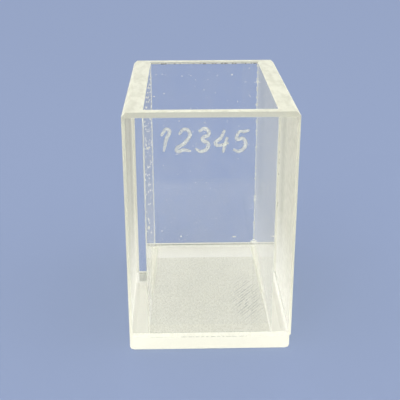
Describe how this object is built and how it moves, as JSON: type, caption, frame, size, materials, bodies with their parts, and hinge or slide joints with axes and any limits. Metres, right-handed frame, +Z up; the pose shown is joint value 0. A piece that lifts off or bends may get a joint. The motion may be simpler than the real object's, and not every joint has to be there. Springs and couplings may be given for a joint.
{
  "type": "cuvette",
  "caption": "Open-topped rectangular glass cell with clear end windows, ground side walls and a flat base, for measuring light through a liquid.",
  "frame": {"origin": "middle of the underside, where the cell stands", "axes": "+Z up along the cell's height, Y along the light path with the front window at -Y, X across the windows"},
  "size_m": [0.024, 0.034, 0.0365],
  "materials": {
    "window_glass": "polished clear glass on both large faces, with ground rim, bevels and ends",
    "ground_glass": "glass polished towards the hollow and ground white on its outer faces"
  },
  "bodies": {
    "root": {"front_window": "window_glass", "back_window": "window_glass", "left_wall": "ground_glass", "right_wall": "ground_glass", "base_plate": "ground_glass"}
  },
  "joints": []
}
